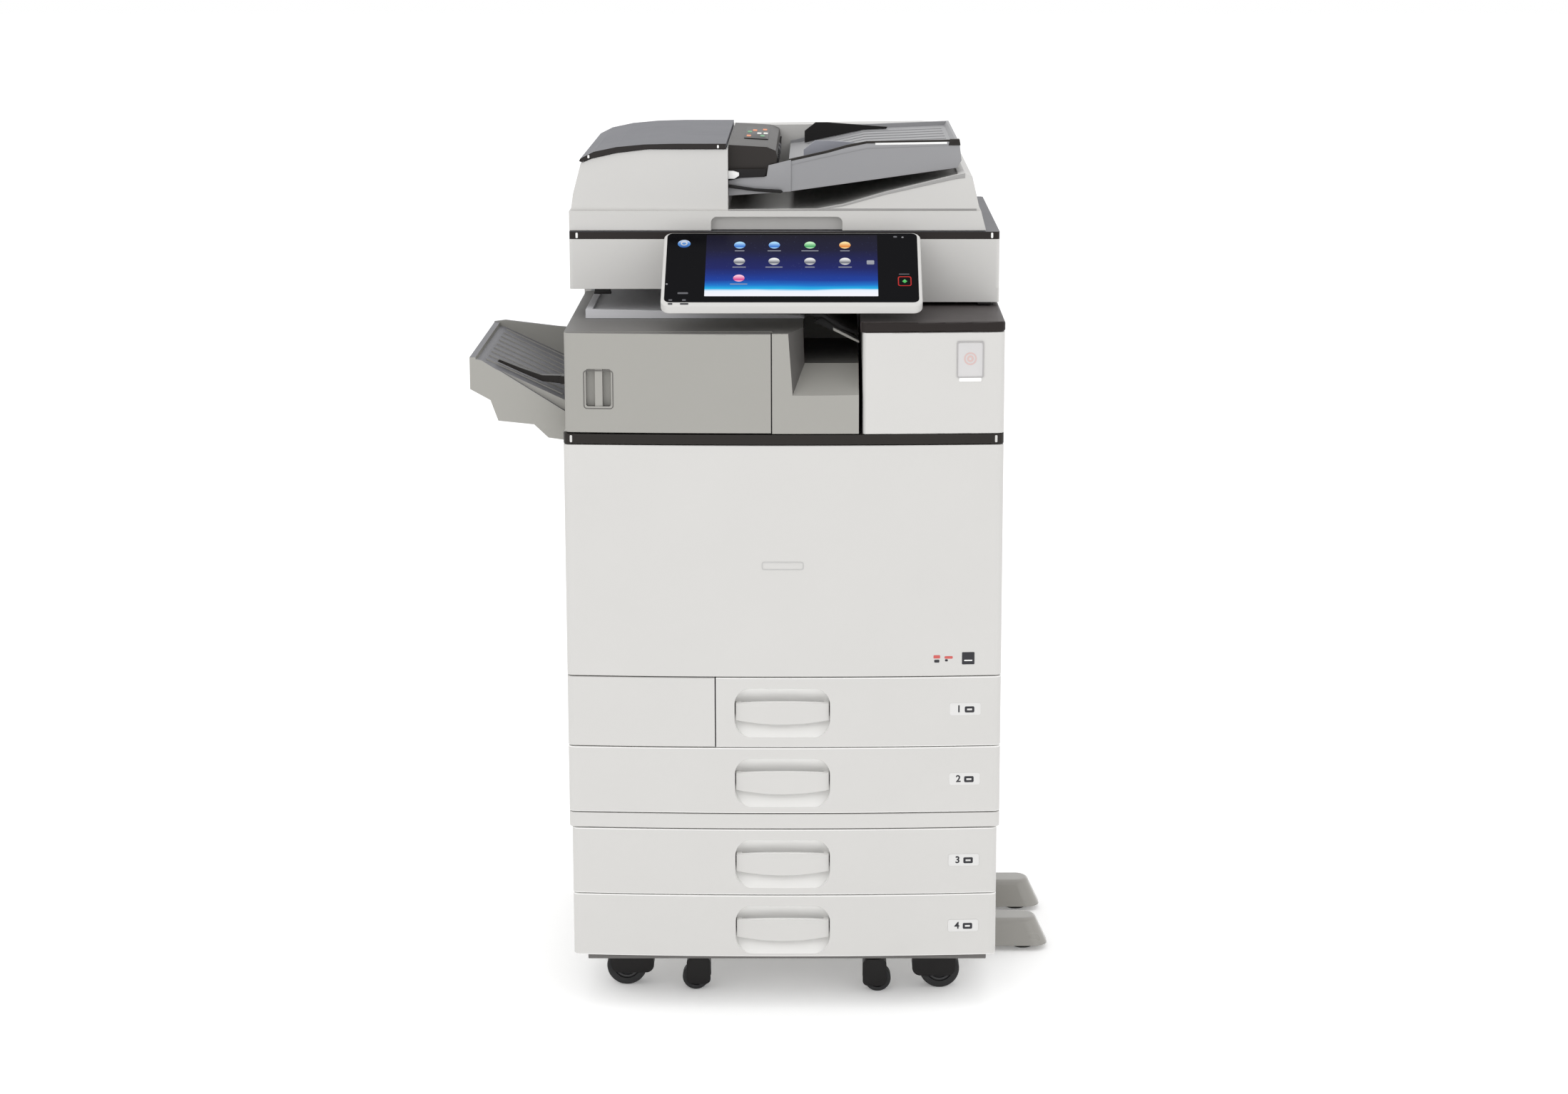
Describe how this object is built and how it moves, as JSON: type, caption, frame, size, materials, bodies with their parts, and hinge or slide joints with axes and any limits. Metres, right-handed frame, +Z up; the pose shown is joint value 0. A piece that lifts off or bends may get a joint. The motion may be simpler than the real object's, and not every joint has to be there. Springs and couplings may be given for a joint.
{
  "type": "photocopier",
  "caption": "Floor-standing office photocopier with paper drawers, side output tray, scanner with tilting touch panel, and a lifting document feeder on casters.",
  "frame": {"origin": "bottom centre of the whole object's box, on the floor", "axes": "+Z up, -Y the front with the panel and drawers, +X the user's right"},
  "size_m": [0.8, 0.685, 1.173],
  "materials": {
    "body_white": "fine moulded texture, satin",
    "bank_white": "coated casing, satin",
    "finisher_grey": "fine moulded texture, satin",
    "trim_dark": "semi-gloss",
    "cap_dark": "fine moulded texture",
    "feeder_grey": "satin",
    "tray_grey": "satin",
    "tray_light": "satin",
    "drawer_grey": "satin",
    "foot_grey": "satin",
    "rubber_black": "matt",
    "inlet_black": "satin",
    "frame_steel": "galvanised sheet, satin",
    "inner_grey": "satin",
    "roller_rubber": "smooth",
    "glass_clear": "polished",
    "screen_black": "polished",
    "toner_black": "satin",
    "toner_cyan": "satin",
    "toner_magenta": "satin",
    "toner_yellow": "satin",
    "caster_black": "satin",
    "caster_tread": "matt"
  },
  "bodies": {
    "machine": {"bank_cabinet": "bank_white", "stabiliser_feet": "foot_grey", "stabiliser_pads": "rubber_black", "base_pan": "body_white", "left_cover": "body_white", "right_cover": "body_white", "rear_cover": "body_white", "power_inlet": "inlet_black", "main_frame": "frame_steel", "inner_front_cover": "inner_grey", "belt_trim": "trim_dark", "lower_left_panel": "body_white", "finisher_housing": "finisher_grey", "one_bin_tray": "tray_light", "output_tray": "finisher_grey", "exit_cover": "body_white", "exit_cap": "cap_dark", "scanner_base": "body_white", "scanner_top_frame": "cap_dark", "scanner_glass": "glass_clear"},
    "bank_side_door": {"bank_side_door": "body_white"},
    "fuser_roller": {"fuser_roller": "roller_rubber"},
    "front_cover": {"front_cover": "body_white"},
    "finisher_door": {"finisher_door": "finisher_grey"},
    "output_tray_lever": {"output_tray_lever": "trim_dark"},
    "scan_carriage": {"scan_carriage": "inner_grey"},
    "feeder": {"feeder_base": "body_white", "feed_unit": "trim_dark"},
    "feeder_cover": {"feeder_cover": "feeder_grey"},
    "feeder_input_tray": {"feeder_input_tray": "tray_grey"},
    "feeder_front_fence": {"feeder_front_fence": "cap_dark"},
    "feeder_rear_fence": {"feeder_rear_fence": "cap_dark"},
    "panel": {"panel_housing": "body_white", "panel_screen": "screen_black"},
    "side_door": {"side_door": "body_white"},
    "bypass_tray": {"bypass_tray": "body_white"},
    "drawer_1": {"drawer_1_front": "body_white", "drawer_1_tray": "drawer_grey"},
    "drawer_2": {"drawer_2_front": "body_white", "drawer_2_tray": "drawer_grey"},
    "drawer_3": {"drawer_3_front": "body_white", "drawer_3_tray": "drawer_grey"},
    "drawer_4": {"drawer_4_front": "body_white", "drawer_4_tray": "drawer_grey"},
    "toner_bottle_1": {"toner_bottle_1": "toner_black"},
    "toner_bottle_2": {"toner_bottle_2": "toner_cyan"},
    "toner_bottle_3": {"toner_bottle_3": "toner_magenta"},
    "toner_bottle_4": {"toner_bottle_4": "toner_yellow"},
    "caster_front_left_fork": {"caster_front_left_fork": "caster_black"},
    "caster_front_left_wheel": {"caster_front_left_wheel": "caster_tread"},
    "caster_front_right_fork": {"caster_front_right_fork": "caster_black"},
    "caster_front_right_wheel": {"caster_front_right_wheel": "caster_tread"},
    "caster_rear_left_fork": {"caster_rear_left_fork": "caster_black"},
    "caster_rear_left_wheel": {"caster_rear_left_wheel": "caster_tread"},
    "caster_rear_right_fork": {"caster_rear_right_fork": "caster_black"},
    "caster_rear_right_wheel": {"caster_rear_right_wheel": "caster_tread"},
    "caster_inner_left_fork": {"caster_inner_left_fork": "caster_black"},
    "caster_inner_left_wheel": {"caster_inner_left_wheel": "caster_tread"},
    "caster_inner_right_fork": {"caster_inner_right_fork": "caster_black"},
    "caster_inner_right_wheel": {"caster_inner_right_wheel": "caster_tread"}
  },
  "joints": [
    {"name": "drawer_1_pull", "type": "slide", "parent": "machine", "child": "drawer_1", "axis": [0, -1, 0], "range_m": [0, 0.45]},
    {"name": "drawer_2_pull", "type": "slide", "parent": "machine", "child": "drawer_2", "axis": [0, -1, 0], "range_m": [0, 0.45]},
    {"name": "drawer_3_pull", "type": "slide", "parent": "machine", "child": "drawer_3", "axis": [0, -1, 0], "range_m": [0, 0.45]},
    {"name": "drawer_4_pull", "type": "slide", "parent": "machine", "child": "drawer_4", "axis": [0, -1, 0], "range_m": [0, 0.45]},
    {"name": "front_cover_open", "type": "hinge", "parent": "machine", "child": "front_cover", "pos_m": [0.021, -0.3405, 0.4755], "axis": [1, 0, 0], "range_deg": [0, 90]},
    {"name": "finisher_door_open", "type": "hinge", "parent": "machine", "child": "finisher_door", "pos_m": [0.0034, -0.341, 0.87], "axis": [0, 0, 1], "range_deg": [0, 95]},
    {"name": "side_door_open", "type": "hinge", "parent": "machine", "child": "side_door", "pos_m": [0.313, -0.0325, 0.3025], "axis": [0, 1, 0], "range_deg": [0, 75]},
    {"name": "bypass_tray_open", "type": "hinge", "parent": "side_door", "child": "bypass_tray", "pos_m": [0.312, -0.0325, 0.5025], "axis": [0, 1, 0], "range_deg": [0, 70]},
    {"name": "bank_side_door_open", "type": "hinge", "parent": "machine", "child": "bank_side_door", "pos_m": [0.31, -0.0325, 0.1065], "axis": [0, 1, 0], "range_deg": [0, 80]},
    {"name": "feeder_lift", "type": "hinge", "parent": "machine", "child": "feeder", "pos_m": [0.021, 0.3215, 1.064], "axis": [-1, 0, 0], "range_deg": [0, 65]},
    {"name": "feeder_cover_open", "type": "hinge", "parent": "feeder", "child": "feeder_cover", "pos_m": [-0.256, 0.0475, 1.1495], "axis": [0, -1, 0], "range_deg": [0, 75]},
    {"name": "input_tray_lift", "type": "hinge", "parent": "feeder", "child": "feeder_input_tray", "pos_m": [0.026, 0.0595, 1.125], "axis": [0, -1, 0], "range_deg": [0, 40]},
    {"name": "front_fence_slide", "type": "slide", "parent": "feeder_input_tray", "child": "feeder_front_fence", "axis": [0, 1, 0], "range_m": [0, 0.09]},
    {"name": "rear_fence_slide", "type": "slide", "parent": "feeder_input_tray", "child": "feeder_rear_fence", "axis": [0, -1, 0], "range_m": [0, 0.09]},
    {"name": "panel_tilt", "type": "hinge", "parent": "machine", "child": "panel", "pos_m": [0.032, -0.1865, 1.034], "axis": [-1, 0, 0], "range_deg": [0, 25]},
    {"name": "output_tray_lever_lift", "type": "hinge", "parent": "machine", "child": "output_tray_lever", "pos_m": [-0.278, -0.2425, 0.8625], "axis": [0, 1, 0], "range_deg": [0, 25]},
    {"name": "scan_carriage_travel", "type": "slide", "parent": "machine", "child": "scan_carriage", "axis": [1, 0, 0], "range_m": [0, 0.46]},
    {"name": "fuser_spin", "type": "hinge", "parent": "machine", "child": "fuser_roller", "pos_m": [0.253, -0.0225, 0.64], "axis": [0, 1, 0], "continuous": true},
    {"name": "toner_1_spin", "type": "hinge", "parent": "machine", "child": "toner_bottle_1", "pos_m": [-0.174, -0.1025, 0.716], "axis": [0, 1, 0], "continuous": true},
    {"name": "toner_2_spin", "type": "hinge", "parent": "machine", "child": "toner_bottle_2", "pos_m": [-0.064, -0.1025, 0.716], "axis": [0, 1, 0], "continuous": true},
    {"name": "toner_3_spin", "type": "hinge", "parent": "machine", "child": "toner_bottle_3", "pos_m": [0.046, -0.1025, 0.716], "axis": [0, 1, 0], "continuous": true},
    {"name": "toner_4_spin", "type": "hinge", "parent": "machine", "child": "toner_bottle_4", "pos_m": [0.156, -0.1025, 0.716], "axis": [0, 1, 0], "continuous": true},
    {"name": "caster_front_left_swivel", "type": "hinge", "parent": "machine", "child": "caster_front_left_fork", "pos_m": [-0.184, -0.2285, 0.07], "axis": [0, 0, 1], "continuous": true},
    {"name": "caster_front_right_swivel", "type": "hinge", "parent": "machine", "child": "caster_front_right_fork", "pos_m": [0.219, -0.2415, 0.07], "axis": [0, 0, 1], "continuous": true},
    {"name": "caster_rear_left_swivel", "type": "hinge", "parent": "machine", "child": "caster_rear_left_fork", "pos_m": [-0.184, 0.2025, 0.07], "axis": [0, 0, 1], "continuous": true},
    {"name": "caster_rear_right_swivel", "type": "hinge", "parent": "machine", "child": "caster_rear_right_fork", "pos_m": [0.219, 0.2025, 0.07], "axis": [0, 0, 1], "continuous": true},
    {"name": "caster_inner_left_swivel", "type": "hinge", "parent": "machine", "child": "caster_inner_left_fork", "pos_m": [-0.097, -0.2515, 0.07], "axis": [0, 0, 1], "continuous": true},
    {"name": "caster_inner_right_swivel", "type": "hinge", "parent": "machine", "child": "caster_inner_right_fork", "pos_m": [0.1425, -0.2595, 0.07], "axis": [0, 0, 1], "continuous": true},
    {"name": "caster_front_left_roll", "type": "hinge", "parent": "caster_front_left_fork", "child": "caster_front_left_wheel", "pos_m": [-0.202, -0.2285, 0.028], "axis": [0, 1, 0], "continuous": true},
    {"name": "caster_front_right_roll", "type": "hinge", "parent": "caster_front_right_fork", "child": "caster_front_right_wheel", "pos_m": [0.237, -0.2415, 0.028], "axis": [0, 1, 0], "continuous": true},
    {"name": "caster_rear_left_roll", "type": "hinge", "parent": "caster_rear_left_fork", "child": "caster_rear_left_wheel", "pos_m": [-0.202, 0.2025, 0.028], "axis": [0, 1, 0], "continuous": true},
    {"name": "caster_rear_right_roll", "type": "hinge", "parent": "caster_rear_right_fork", "child": "caster_rear_right_wheel", "pos_m": [0.237, 0.2025, 0.028], "axis": [0, 1, 0], "continuous": true},
    {"name": "caster_inner_left_roll", "type": "hinge", "parent": "caster_inner_left_fork", "child": "caster_inner_left_wheel", "pos_m": [-0.1045, -0.2515, 0.0185], "axis": [0, 1, 0], "continuous": true},
    {"name": "caster_inner_right_roll", "type": "hinge", "parent": "caster_inner_right_fork", "child": "caster_inner_right_wheel", "pos_m": [0.15, -0.2595, 0.0185], "axis": [0, 1, 0], "continuous": true}
  ],
  "couplings": [
    {"joint": "rear_fence_slide", "follows": "front_fence_slide", "ratio": 1}
  ]
}
